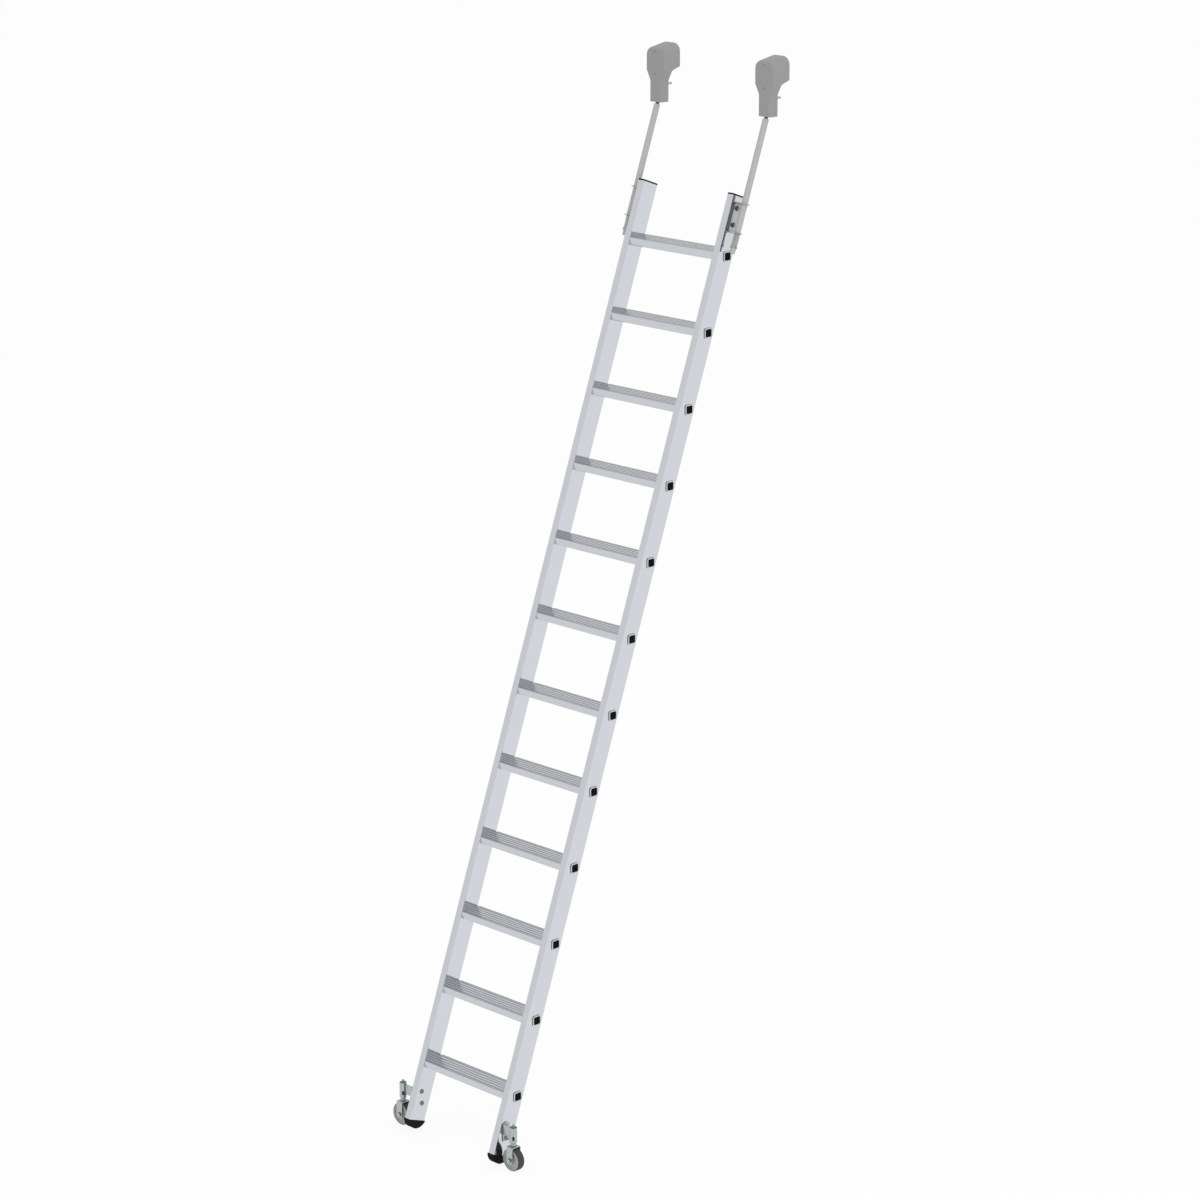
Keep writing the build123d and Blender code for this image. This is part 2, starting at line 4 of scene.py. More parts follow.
import bmesh
import bpy
from bpy.props import FloatProperty, FloatVectorProperty, PointerProperty
from bpy.types import Operator, Panel, PropertyGroup
from mathutils import Matrix, Vector
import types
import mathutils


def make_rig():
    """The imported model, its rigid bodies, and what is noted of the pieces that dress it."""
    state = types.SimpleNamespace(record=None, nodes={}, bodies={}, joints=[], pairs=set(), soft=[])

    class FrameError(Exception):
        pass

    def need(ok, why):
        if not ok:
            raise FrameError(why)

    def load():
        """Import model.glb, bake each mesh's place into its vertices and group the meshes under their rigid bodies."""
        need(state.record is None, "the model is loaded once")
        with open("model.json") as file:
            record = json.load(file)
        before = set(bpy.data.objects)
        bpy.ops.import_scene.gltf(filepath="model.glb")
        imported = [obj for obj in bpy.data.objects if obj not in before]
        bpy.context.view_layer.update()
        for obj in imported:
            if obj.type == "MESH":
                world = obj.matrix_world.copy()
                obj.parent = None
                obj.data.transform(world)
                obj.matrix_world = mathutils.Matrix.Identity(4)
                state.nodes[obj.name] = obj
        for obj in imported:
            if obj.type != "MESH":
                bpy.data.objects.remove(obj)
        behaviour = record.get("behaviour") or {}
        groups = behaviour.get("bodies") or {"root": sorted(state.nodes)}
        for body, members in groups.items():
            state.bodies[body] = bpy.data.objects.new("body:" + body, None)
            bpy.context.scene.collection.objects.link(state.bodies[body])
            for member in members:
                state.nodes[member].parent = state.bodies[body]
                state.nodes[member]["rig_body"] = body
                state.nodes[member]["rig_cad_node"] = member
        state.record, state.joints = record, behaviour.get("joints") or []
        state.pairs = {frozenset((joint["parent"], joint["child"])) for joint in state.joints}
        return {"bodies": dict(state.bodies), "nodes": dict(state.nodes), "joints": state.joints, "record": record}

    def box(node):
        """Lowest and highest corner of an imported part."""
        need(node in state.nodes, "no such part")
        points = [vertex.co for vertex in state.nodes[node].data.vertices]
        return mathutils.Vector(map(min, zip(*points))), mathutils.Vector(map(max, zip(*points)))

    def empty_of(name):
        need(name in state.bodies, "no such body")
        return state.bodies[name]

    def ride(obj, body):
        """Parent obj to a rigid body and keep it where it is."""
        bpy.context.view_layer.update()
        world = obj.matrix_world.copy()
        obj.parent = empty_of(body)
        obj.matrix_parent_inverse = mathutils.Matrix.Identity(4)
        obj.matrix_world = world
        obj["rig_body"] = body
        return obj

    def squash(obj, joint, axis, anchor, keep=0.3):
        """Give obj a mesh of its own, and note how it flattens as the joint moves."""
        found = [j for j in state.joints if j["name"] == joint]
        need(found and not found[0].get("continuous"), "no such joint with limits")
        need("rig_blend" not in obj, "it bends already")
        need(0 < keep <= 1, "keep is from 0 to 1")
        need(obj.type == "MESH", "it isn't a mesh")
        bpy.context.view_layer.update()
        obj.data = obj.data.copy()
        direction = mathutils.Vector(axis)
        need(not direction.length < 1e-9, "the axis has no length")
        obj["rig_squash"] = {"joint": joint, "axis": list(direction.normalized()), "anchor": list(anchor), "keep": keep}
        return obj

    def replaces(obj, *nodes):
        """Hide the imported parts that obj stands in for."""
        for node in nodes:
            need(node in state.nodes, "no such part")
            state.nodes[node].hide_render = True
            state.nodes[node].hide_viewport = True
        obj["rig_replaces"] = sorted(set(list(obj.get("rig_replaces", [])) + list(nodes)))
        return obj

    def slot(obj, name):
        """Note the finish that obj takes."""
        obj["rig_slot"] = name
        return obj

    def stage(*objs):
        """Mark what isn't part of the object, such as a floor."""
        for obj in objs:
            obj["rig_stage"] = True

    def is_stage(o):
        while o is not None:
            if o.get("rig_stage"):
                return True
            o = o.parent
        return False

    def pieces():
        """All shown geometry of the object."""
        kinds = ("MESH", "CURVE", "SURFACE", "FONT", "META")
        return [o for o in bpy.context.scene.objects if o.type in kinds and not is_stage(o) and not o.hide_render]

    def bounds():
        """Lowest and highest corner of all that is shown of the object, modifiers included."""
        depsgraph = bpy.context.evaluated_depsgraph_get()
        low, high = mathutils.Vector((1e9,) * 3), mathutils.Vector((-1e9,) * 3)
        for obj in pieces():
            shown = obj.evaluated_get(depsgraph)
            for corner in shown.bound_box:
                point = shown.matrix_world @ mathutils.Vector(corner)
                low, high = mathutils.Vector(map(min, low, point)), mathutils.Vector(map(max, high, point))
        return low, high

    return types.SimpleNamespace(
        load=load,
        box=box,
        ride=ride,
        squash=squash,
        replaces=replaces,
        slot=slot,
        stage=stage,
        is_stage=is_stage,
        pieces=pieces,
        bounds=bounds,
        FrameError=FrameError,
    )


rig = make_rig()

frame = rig.load()
CAD_BOX = [list(corner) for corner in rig.bounds()]

bl_info = {
    "name": "Mobile step ladder",
    "version": (1, 0, 0),
    "blender": (4, 5, 0),
    "location": "View3D > Sidebar > Ladder",
    "description": "Finishes and small pieces of a rail ladder with sprung hooks and castors",
    "category": "Object",
}

NODES = frame["nodes"]
SLOT_OF = {row["node"]: row["material_slot"] for row in frame["record"]["subparts"]}
JOINTS = {joint["name"]: joint for joint in frame["joints"]}
SIDES = {"left": -1, "right": 1}
RIGHT = Vector((1, 0, 0))
UP = Vector(JOINTS["left_rod_slide"]["axis"]).normalized()
LEAN = asin(UP.y)
TILT = Matrix.Rotation(-LEAN, 4, "X")
STEPS = sorted(name for name in NODES if name.startswith("step_") and name[5:].isdigit())
RECIPES = {}
FINISHES = {}

# Sockets of the shader for a finish's constants
CONSTANTS = {"metallic": "Metallic", "roughness": "Roughness", "gloss": "Specular IOR Level"}

# Points of a loop, and the gap in metres that parts one solid of a node from the next
AROUND = 48
APART = 0.005

# How often the finishes' patterns repeat in a metre
FINE_LINES, DRAWN_CLOUDS, TREAD_CLOUDS, FLOOR_CLOUDS = 900, 7, 26, 2
CRYSTALS, PLATING_CLOUDS = 420, 60
MOULD_GRAIN, MOULD_CLOUDS = 1400, 18

# Shares of a step's colours for painted shade on its front and rear strips, in its grooves and round its collars
FRONT_STRIP, REAR_STRIP, GROOVE, COLLAR_SHADE = 0.77, 0.66, 0.91, 0.25

# Share of the zinc's colour on the bracket nuts: a lighter copy of the plating that paints their highlights
NUT_HIGHLIGHT = 1.4

# Depths below a tread, in metres, between which a point lies in a groove
GROOVE_RIM, GROOVE_FLOOR = 0.0003, 0.002

# How far a surface has to face along an axis to count as a tread, a collar's face, a plate's edge with painted shade, a
# tyre's side or a tube's end
TREAD_UP, COLLAR_FACE, SHADED_EDGE, TYRE_SIDE, TUBE_END = 0.7, 0.7, 0.8, 0.88, 0.5

# Turns of the springs, sides of the sections of their wire and of a thread's ridge, and that ridge's share
# of the pitch
CASTOR_TURNS, ROD_TURNS = 6.0, 9.0
WIRE_SIDES, RIDGE_SIDES, RIDGE_SHARE = 12, 4, 0.9

# How far in metres a thread's ridge is sunk in its shank and stops short of the end, on a bolt and on a stem
BOLT_SUNK, BOLT_SHORT, STEM_SUNK, STEM_SHORT = 0.0004, 0.0001, 0.0003, 0.0005

# Width of the camera's sensor in millimetres, and how far it sees in metres
SENSOR, VIEW_END = 36, 200


def length(name, description, default):
    """Property for a size in metres."""
    return FloatProperty(name=name, description=description, default=default, min=0, unit="LENGTH",
                         precision=5)


def colour(name, description, default):
    """Property for a linear colour."""
    return FloatVectorProperty(name=name, description=description, default=default, subtype="COLOR",
                               min=0, max=1)


class LadderSizes(PropertyGroup):
    """Sizes of the small pieces."""

    ribbed_half: length("Ribbed half", "Half of the tread's grooved width", 0.0305)
    cap_plate: length("Cap plate", "Thickness of a top cap over its stile", 0.0025)
    cap_corner: length("Cap corner", "Corner radius of a stile under its cap", 0.003)
    cap_wall: length("Cap wall", "Wall of a stile round its cap's plug", 0.0022)
    cap_skirt: length("Cap skirt", "How far a top cap reaches down its stile", 0.0025)
    cap_over: length("Cap overhang", "How far a top cap stands out from its stile", 0.0003)
    plug_corner: length("Plug corner", "Corner radius of a step's end plug", 0.0039)
    plug_dimple: length("Plug dimple", "Radius of the dimple in a plug's face", 0.005)
    plug_width: length("Plug width", "Width of a step's end plug", 0.0253)
    plug_height: length("Plug height", "Height of a step's end plug", 0.0241)
    plug_depth: length("Plug depth", "Depth of a step's end plug", 0.014)
    plug_flange: length("Plug flange", "How far a plug's flange reaches over the spigot's end", 0.0007)
    plug_face: length("Plug face", "How far a plug's face stands out", 0.0006)
    hex_flats: length("Hexagon", "Size across the flats of nuts and bolt heads", 0.013)
    bolt_radius: length("Bolt radius", "Radius of the bolts' shanks", 0.004)
    bolt_shank: length("Bolt shank", "Length of the hook brackets' bolts", 0.018)
    head_height: length("Head height", "Height of the bolts' heads", 0.0053)
    nut_height: length("Nut height", "Height of the nuts", 0.0065)
    thread_pitch: length("Thread pitch", "Pitch of the bolts' threads", 0.00125)
    thread_end: length("Thread end", "How far a thread stands out of its nut", 0.002)
    dome_radius: length("Dome radius", "Radius of the castor brackets' screw heads", 0.0082)
    dome_rim: length("Dome rim", "Height of the rims of the castor brackets' screw heads", 0.001)
    dome_height: length("Dome height", "Height of the castor brackets' screw heads over their rims", 0.0034)
    dome_socket: length("Dome socket", "Size across the flats of the castor brackets' screw sockets", 0.005)
    dome_shank: length("Dome shank", "Length of the castor brackets' screws", 0.0365)
    castor_wire: length("Castor spring wire", "Wire of the castor springs", 0.002)
    castor_coil: length("Castor spring radius", "Axis to wire of the castor springs", 0.0076)
    rod_wire: length("Rod spring wire", "Wire of the rod springs", 0.0025)
    rod_coil: length("Rod spring radius", "Axis to wire of the rod springs", 0.00985)
    rod_run: length("Rod spring length", "Length of the rod springs", 0.042)
    washer: length("Rod washer", "Thickness of the washer under a rod's spring", 0.002)
    screw_radius: length("Screw radius", "Head radius of the hooks' screws", 0.003)
    screw_low: length("Lower screw", "Hook's lower end to its lower screw", 0.0901)
    screw_spacing: length("Screw spacing", "Distance between a hook's screws", 0.072)


class LadderColours(PropertyGroup):
    """Colours of the finishes."""

    stile: colour("Stiles", "Bright anodised tube", (0.64, 0.66, 0.70))
    # Painted shade: the steps' upper faces take a darker copy of their metal than their fronts and collars
    tread: colour("Treads", "Upper face of the steps", (0.54, 0.56, 0.59))
    riser: colour("Step fronts", "Nose and collars of the steps", (0.58, 0.60, 0.63))
    zinc: colour("Zinc", "Plated brackets, forks and fasteners", (0.44, 0.485, 0.48))
    # Painted shade: a dark colour on the plates' front and rear edges beside the stiles and inside the castors' guide
    # tubes, where shade falls
    cut: colour("Cut edges", "Sheared edges of the brackets' plates", (0.17, 0.175, 0.17))
    steel: colour("Steel", "Grey bolts and screws", (0.26, 0.265, 0.26))
    # Dark steel for the studs and castor springs. On the studs it is partly painted shade for the shade under the
    # hooks. On the plungers behind the tube slots it is painted shade
    dark: colour("Dark steel", "Studs of the hooks and greased plungers", (0.06, 0.06, 0.06))
    rod: colour("Rods", "Satin rods of the hooks", (0.475, 0.465, 0.455))
    wire: colour("Springs", "Bright spring wire", (0.62, 0.60, 0.58))
    hook: colour("Hooks", "Grey moulding of the hooks", (0.295, 0.295, 0.295))
    roller: colour("Rollers", "Plain moulding of the rollers", (0.60, 0.60, 0.57))
    black: colour("Plugs and caps", "Black moulding", (0.002, 0.002, 0.002))
    foot: colour("Feet", "Black rubber", (0.004, 0.004, 0.004))
    hub: colour("Hubs", "Grey moulding of the wheels", (0.38, 0.385, 0.38))
    tyre: colour("Tyres", "Grey-black rubber", (0.056, 0.056, 0.057))


class LadderStage(PropertyGroup):
    """Camera, light and floor."""

    lens: FloatProperty(name="Lens", description="Focal length on a sensor 36 mm wide", default=112.566,
                        unit="CAMERA")
    camera_place: FloatVectorProperty(name="Camera", description="Place of the camera", subtype="TRANSLATION",
                                      default=(8.2299, -8.16836, 4.92673))
    camera_turn: FloatProperty(name="Turn", description="Camera's turn to the left of +Y", subtype="ANGLE",
                               default=radians(45))
    camera_drop: FloatProperty(name="Drop", description="Camera's angle below the horizon", subtype="ANGLE",
                               default=radians(15.496))
    floor_size: length("Floor", "Side of the floor", 60)
    floor_colour: colour("Floor colour", "Pale floor", (0.95, 0.95, 0.95))
    whiteness: FloatProperty(name="Whiteness", description="Share of plain white in the floor's look",
                             default=0.9, min=0, max=1, subtype="FACTOR")
    ambient: FloatProperty(name="Ambient", description="Strength of the light from all round", default=0.85)
    mirrored: FloatProperty(name="Mirrored", description="Strength of the surroundings in metal",
                            default=0.86)
    key_power: FloatProperty(name="Key", description="Power of the lamp on the right", default=160,
                             unit="POWER")
    key_size: length("Key size", "Side of the lamp", 9)
    key_place: FloatVectorProperty(name="Key place", description="Place of the lamp", subtype="TRANSLATION",
                                   default=(5.5, -2.5, 6.5))
    key_aim: FloatVectorProperty(name="Key aim", description="Point that the lamp faces",
                                 subtype="TRANSLATION", default=(0, 0, 1.7))


class Socket:
    """Output of a node. Sums on it add Math nodes to its tree."""

    def __init__(self, nodes, link):
        self.nodes = nodes
        self.link = link

    def math(self, operation, first, second):
        """Result of a Math node on two sockets or numbers."""
        return self.nodes.node("ShaderNodeMath", {"operation": operation}, {0: first, 1: second})

    def __add__(self, other):
        return self.math("ADD", self, other)

    def __radd__(self, other):
        return self.math("ADD", other, self)

    def __sub__(self, other):
        return self.math("SUBTRACT", self, other)

    def __rsub__(self, other):
        return self.math("SUBTRACT", other, self)

    def __mul__(self, other):
        return self.math("MULTIPLY", self, other)

    def __rmul__(self, other):
        return self.math("MULTIPLY", other, self)

    def __truediv__(self, other):
        return self.math("DIVIDE", self, other)

    def __rtruediv__(self, other):
        return self.math("DIVIDE", other, self)

    def __gt__(self, other):
        return self.math("GREATER_THAN", self, other)

    def __lt__(self, other):
        return self.math("LESS_THAN", self, other)

    def __abs__(self):
        return self.math("ABSOLUTE", self, 0)

    def __round__(self):
        return self.math("ROUND", self, 0)

    def least(self, other):
        return self.math("MINIMUM", self, other)

    def most(self, other):
        return self.math("MAXIMUM", self, other)


class Nodes:
    """Node tree whose nodes all come from one method."""

    def __init__(self, tree):
        self.tree = tree

    def node(self, kind, settings=None, sockets=None, out=0):
        """Add a node with its settings and its sockets' values or links. Gives the output that is asked for,
        or the node itself for None."""
        made = self.tree.nodes.new(kind)
        for name, value in (settings or {}).items():
            setattr(made, name, value)
        for name, value in (sockets or {}).items():
            if isinstance(value, Socket):
                self.tree.links.new(value.link, made.inputs[name])
            else:
                made.inputs[name].default_value = value
        return made if out is None else Socket(self, made.outputs[out])


class Finish(Nodes):
    """Material with one Principled shader, and the patterns that the finishes share."""

    def __init__(self, name, **constants):
        """Constants go on the shader's own sockets: metallic, roughness, and gloss for the specular level."""
        self.material = bpy.data.materials.new(name)
        self.material.use_nodes = True
        super().__init__(self.material.node_tree)
        self.tree.nodes.clear()
        shader = self.node("ShaderNodeBsdfPrincipled", out=None)
        self.inputs = shader.inputs
        self.lit = Socket(self, shader.outputs[0])
        self.end = self.node("ShaderNodeOutputMaterial", None, {"Surface": self.lit}, out=None)
        for key, value in constants.items():
            self.inputs[CONSTANTS[key]].default_value = value

    def feed(self, socket, value):
        """Lead a value to one of the shader's sockets."""
        self.tree.links.new(value.link, self.inputs[socket])

    def grain(self, scale, stretch=(1, 1, 1), turn=(0, 0, 0), detail=2):
        """Noise from 0 to 1 on the piece's own coordinates, drawn out by the smaller numbers of a stretch."""
        place = self.node("ShaderNodeTexCoord", out="Object")
        sockets = {"Vector": place, "Rotation": turn, "Scale": stretch}
        place = self.node("ShaderNodeMapping", None, sockets)
        return self.node("ShaderNodeTexNoise", None, {"Vector": place, "Scale": scale, "Detail": detail})

    def tint(self, shade, spread, mask):
        """Colour that goes a little darker and lighter with a mask."""
        high = [min(1, channel) for channel in share_of(shade, 1 + spread)]
        return self.blend(mask, share_of(shade, 1 - spread), high)

    def blend(self, mask, first, second):
        """First colour where the mask is 0, and second where it is 1. Each is a socket or three numbers."""
        first, second = [pick if isinstance(pick, Socket) else [*pick, 1] for pick in (first, second)]
        return self.node("ShaderNodeMix", {"data_type": "RGBA"}, {0: mask, 6: first, 7: second}, out=2)

    def relief(self, height, strength, depth):
        """Bump on the shader's normal."""
        sockets = {"Height": height, "Strength": strength, "Distance": depth}
        self.feed("Normal", self.node("ShaderNodeBump", None, sockets))

    def open(self, reach):
        """How open a point is within a reach: 1 in the clear, and less in a crevice. The platings use it to paint shade
        into crevices.
        """
        return self.node("ShaderNodeAmbientOcclusion", {"samples": 8}, {"Distance": reach}, out="AO")

    def place(self, axis):
        """How far a point of the piece lies along an axis of the frame."""
        place = self.node("ShaderNodeTexCoord", out="Object")
        return self.node("ShaderNodeSeparateXYZ", None, {0: place}, out=axis)

    def facing(self, axis):
        """How far the surface faces along an axis of the frame."""
        normal = self.node("ShaderNodeNewGeometry", out="Normal")
        return self.node("ShaderNodeSeparateXYZ", None, {0: normal}, out=axis)


def share_of(shade, share):
    """Colour at a share of its brightness."""
    return [channel * share for channel in shade]


def drawn_metal(name, shade, stretch, turn=(0, 0, 0), roughness=0.09, metallic=1.0):
    """Drawn or extruded metal: fine lines along its length, with soft clouds in its colour."""
    finish = Finish(name, metallic=metallic)
    lines = finish.grain(FINE_LINES, stretch, turn, 1)
    clouds = finish.grain(DRAWN_CLOUDS, (1, 1, 1), turn)
    swing = 0.03
    finish.feed("Base Color", finish.tint(shade, spread=0.03, mask=clouds * 0.5 + lines * 0.5))
    finish.feed("Roughness", roughness - swing + lines * swing + clouds * swing)
    finish.relief(lines, strength=0.02, depth=0.0001)
    return finish.material


def tread_metal(name, tread, riser, size):
    """Extruded step: duller on its upper face than on its nose. Its colour holds painted shade: a darker upper face,
    darker strips at front and rear, darker grooves and dark collar rims.
    """
    finish = Finish(name, metallic=1.0)
    lines = finish.grain(FINE_LINES, (0.006, 1, 1), detail=1)
    clouds = finish.grain(TREAD_CLOUDS, (0.3, 1, 1), detail=3)
    low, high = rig.box(STEPS[0])
    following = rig.box(STEPS[1])[0] - low
    level = round((finish.place(2) - high.z) / following.z)
    below = high.z + level * following.z - finish.place(2)
    back = finish.place(1) - (low.y + high.y) / 2 - level * following.y
    up = finish.facing(2) > TREAD_UP
    ribbed = abs(back) < size.ribbed_half
    groove = ribbed * (below > GROOVE_RIM) * (below < GROOVE_FLOOR)
    top = finish.tint(tread, spread=0.05, mask=clouds * 0.4 + lines * 0.6)
    # Painted shade: darker strips at the tread's front and rear
    plain = finish.blend(back > 0, share_of(tread, FRONT_STRIP), share_of(tread, REAR_STRIP))
    top = finish.blend(ribbed, plain, top)
    front = finish.tint(riser, spread=0.03, mask=lines)
    # Painted shade: upper faces take the darker tread colour, fronts the riser colour
    shade = finish.blend(up, front, top)
    # Painted shade in the grooves
    shade = finish.blend(groove, shade, share_of(tread, GROOVE))
    # Painted shade round the collars, on their sides outside the stiles
    clear = 0.0002
    outside = abs(finish.place(0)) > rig.box("right_stile")[1].x + clear
    rim = outside * (abs(finish.facing(0)) < COLLAR_FACE)
    finish.feed("Base Color", finish.blend(rim, shade, share_of(riser, COLLAR_SHADE)))
    smooth, dull, swing = 0.1, 0.1, 0.04
    finish.feed("Roughness", smooth + up * dull + clouds * swing)
    finish.relief(lines, strength=0.03, depth=0.0001)
    return finish.material


def plated_metal(name, shade, roughness=0.2, other=None, mask=None, crevice=0.35):
    """Zinc plating with faint crystals and a cloudy sheen, with painted shade that darkens its crevices. Another shade
    takes over where a mask says so."""
    finish = Finish(name, metallic=1.0)
    place = finish.node("ShaderNodeTexCoord", out="Object")
    crystals = finish.node("ShaderNodeTexVoronoi", None, {"Vector": place, "Scale": CRYSTALS}, out="Color")
    crystals = finish.node("ShaderNodeRGBToBW", None, {0: crystals})
    clouds = finish.grain(PLATING_CLOUDS, detail=3)
    mottle = crystals * 0.45 + clouds * 0.55
    spread, under, swing = 0.1, 0.05, 0.12
    plating = finish.tint(shade, spread, mottle)
    # Painted shade: in crevices the colour falls to a share of itself
    tint = finish.blend(finish.open(reach=0.012), share_of(shade, crevice), plating)
    if mask:
        tint = finish.blend(mask(finish), tint, finish.tint(other, spread, mottle))
    finish.feed("Base Color", tint)
    finish.feed("Roughness", roughness - under + clouds * swing)
    finish.relief(crystals * 0.5 + clouds * 0.5, strength=0.04, depth=0.0002)
    return finish.material


def moulded(name, shade, roughness, spread=0.05, depth=0.0003, gloss=0.5, other=None, mask=None):
    """Moulded plastic or rubber with a fine grain and soft clouds in its colour. Another shade takes over
    where a mask says so."""
    finish = Finish(name, gloss=gloss)
    grain = finish.grain(MOULD_GRAIN, detail=1)
    clouds = finish.grain(MOULD_CLOUDS, detail=3)
    mottle = clouds * 0.6 + grain * 0.4
    tint = finish.tint(shade, spread, mottle)
    if mask:
        tint = finish.blend(mask(finish), tint, finish.tint(other, spread=0.05, mask=mottle))
    under, swing = 0.06, 0.08
    finish.feed("Base Color", tint)
    finish.feed("Roughness", roughness - under + clouds * swing + grain * swing)
    finish.relief(grain * 0.7 + clouds * 0.3, strength=0.08, depth=depth)
    return finish.material


def edge_and_bore_shade(finish):
    """Mask for painted shade on the front and rear edges of a plate that lies on a stile, and inside a guide tube."""
    sheet, bore = 0.006, 0.0115
    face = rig.box("right_stile")[1].x
    edge = (abs(finish.facing(1)) > SHADED_EDGE) * (abs(finish.place(0)) < face + sheet)
    axis = middle_of("right_castor_stem_nut")
    across, back = abs(finish.place(0)) - axis.x, finish.place(1) - axis.y
    inside = (across * across + back * back < bore ** 2) * (finish.facing(2) < TUBE_END)
    return edge.most(inside)


def rim_flanges(finish):
    """Mask for the sides of a tyre, where its grey rim shows."""
    return abs(finish.facing(1)) > TYRE_SIDE


def shaded(finish):
    """Mask for painted shade on the part of a plunger behind its guide tube's slot."""
    under, over = 0.008, 0.03
    low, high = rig.box("right_castor_guide_pin")
    height = finish.place(2)
    return (height > low.z - under) * (height < high.z + over)


class Recipe(Nodes):
    """Geometry node tree with named inputs, which ends in real geometry with its finish."""

    def __init__(self, name):
        super().__init__(bpy.data.node_groups.new(name, "GeometryNodeTree"))
        self.tree.interface.new_socket("Geometry", in_out="OUTPUT", socket_type="NodeSocketGeometry")
        self.group = self.node("NodeGroupInput", out=None)
        self.sockets = {}

    def input(self, name, kind):
        """Add a named input and give its socket."""
        item = self.tree.interface.new_socket(name, in_out="INPUT", socket_type=f"NodeSocket{kind}")
        self.sockets[name] = item.identifier
        return Socket(self, self.group.outputs[name])

    def finish(self, geometry):
        """End the tree in real geometry with the finish that its last input names."""
        real = self.node("GeometryNodeRealizeInstances", None, {"Geometry": geometry})
        sockets = {"Geometry": real, "Material": self.input("Finish", "Material")}
        ready = self.node("GeometryNodeSetMaterial", None, sockets)
        self.node("NodeGroupOutput", None, {"Geometry": ready}, out=None)
        return self


def row_recipe():
    """Row of one shape at an even pitch."""
    recipe = Recipe("Row of a shape")
    sockets = {"Count": recipe.input("Count", "Int"), "Start Location": recipe.input("First", "Vector"),
               "Offset": recipe.input("Pitch", "Vector")}
    points = recipe.node("GeometryNodeMeshLine", {"mode": "OFFSET"}, sockets)
    sockets = {"Object": recipe.input("Shape", "Object")}
    shape = recipe.node("GeometryNodeObjectInfo", None, sockets, out="Geometry")
    sockets = {"Points": points, "Instance": shape, "Rotation": recipe.input("Turn", "Vector")}
    return recipe.finish(recipe.node("GeometryNodeInstanceOnPoints", None, sockets))


def coil_recipe():
    """Wire wound on the Z axis: a spring with closed ends, or the ridge of a thread."""
    recipe = Recipe("Wound wire")
    turns = recipe.input("Turns", "Float")
    radius = recipe.input("Radius", "Float")
    height = recipe.input("Length", "Float")
    wire = recipe.input("Wire", "Float")
    closed = recipe.input("Closed turns", "Float")
    sides = recipe.input("Sides", "Int")
    sockets = {"Resolution": 40, "Rotations": turns, "Start Radius": radius, "End Radius": radius,
               "Height": wire}
    spiral = recipe.node("GeometryNodeCurveSpiral", None, sockets)
    along = recipe.node("GeometryNodeSplineParameter", out="Factor")
    end = closed / turns
    middle = 1 - 2 * end
    ends = (along.least(end) + (along - (1 - end)).most(0)) * turns * wire
    rise = (along - end).most(0).least(middle) / middle * (height - wire - 2 * closed * wire)
    place = recipe.node("GeometryNodeInputPosition")
    flat = [recipe.node("ShaderNodeSeparateXYZ", None, {0: place}, out=axis) for axis in range(2)]
    place = recipe.node("ShaderNodeCombineXYZ", None, {0: flat[0], 1: flat[1], 2: ends + rise + wire / 2})
    path = recipe.node("GeometryNodeSetPosition", None, {"Geometry": spiral, "Position": place})
    sockets = {"Resolution": sides, "Radius": wire / 2}
    section = recipe.node("GeometryNodeCurvePrimitiveCircle", None, sockets)
    sockets = {"Curve": path, "Profile Curve": section, "Fill Caps": True}
    return recipe.finish(recipe.node("GeometryNodeCurveToMesh", None, sockets))


def grow(name, recipe, values, smooth=True):
    """Object that holds a recipe's result as a plain mesh."""
    made = bpy.data.objects.new(name, bpy.data.meshes.new(name))
    bpy.context.scene.collection.objects.link(made)
    modifier = made.modifiers.new("Recipe", "NODES")
    modifier.node_group = recipe.tree
    for key, value in values.items():
        modifier[recipe.sockets[key]] = tuple(value) if isinstance(value, Vector) else value
    bpy.context.view_layer.update()
    ready = made.evaluated_get(bpy.context.evaluated_depsgraph_get())
    mesh = bpy.data.meshes.new_from_object(ready)
    made.modifiers.clear()
    made.data = mesh
    for face in mesh.polygons:
        face.use_smooth = smooth
    return made


def loops_mesh(name, finish, loops, crease=32):
    """Mesh through loops of as many points each, closed at both ends, with edges sharp past an angle."""
    mesh = bpy.data.meshes.new(name)
    mesh.materials.append(finish)
    bm = bmesh.new()
    rows = [[bm.verts.new(point) for point in loop] for loop in loops]
    count = len(rows[0])
    for low, high in zip(rows, rows[1:]):
        for i in range(count):
            j = (i + 1) % count
            bm.faces.new((low[i], low[j], high[j], high[i]))
    bm.faces.new(rows[0][::-1])
    bm.faces.new(rows[-1])
    bmesh.ops.remove_doubles(bm, verts=bm.verts, dist=1e-6)
    bmesh.ops.recalc_face_normals(bm, faces=bm.faces)
    for face in bm.faces:
        face.smooth = True
    for edge in bm.edges:
        edge.smooth = len(edge.link_faces) == 2 and edge.calc_face_angle(0) < radians(crease)
    bm.to_mesh(mesh)
    bm.free()
    made = bpy.data.objects.new(name, mesh)
    bpy.context.scene.collection.objects.link(made)
    return made


def round_loop(radius, height):
    """Round loop at a height. Its radius is a number, or a function of the angle."""
    points = []
    for i in range(AROUND):
        angle = 2 * pi * i / AROUND
        reach = radius(angle) if callable(radius) else radius
        level = height(reach) if callable(height) else height
        points.append((reach * cos(angle), reach * sin(angle), level))
    return points


def hexagon(flats):
    """Radius of a hexagon at an angle, with a corner at 0."""
    return lambda angle: flats / 2 / cos(angle % (pi / 3) - pi / 6)


def hex_loops(flats, low, high):
    """Hexagon between two heights, with its upper corners turned off."""
    bevel = tan(radians(30))
    crown = flats / 2 * 0.96
    return [round_loop(hexagon(flats), low),
            round_loop(hexagon(flats), lambda reach: high - (reach - crown) * bevel),
            round_loop(crown, high)]


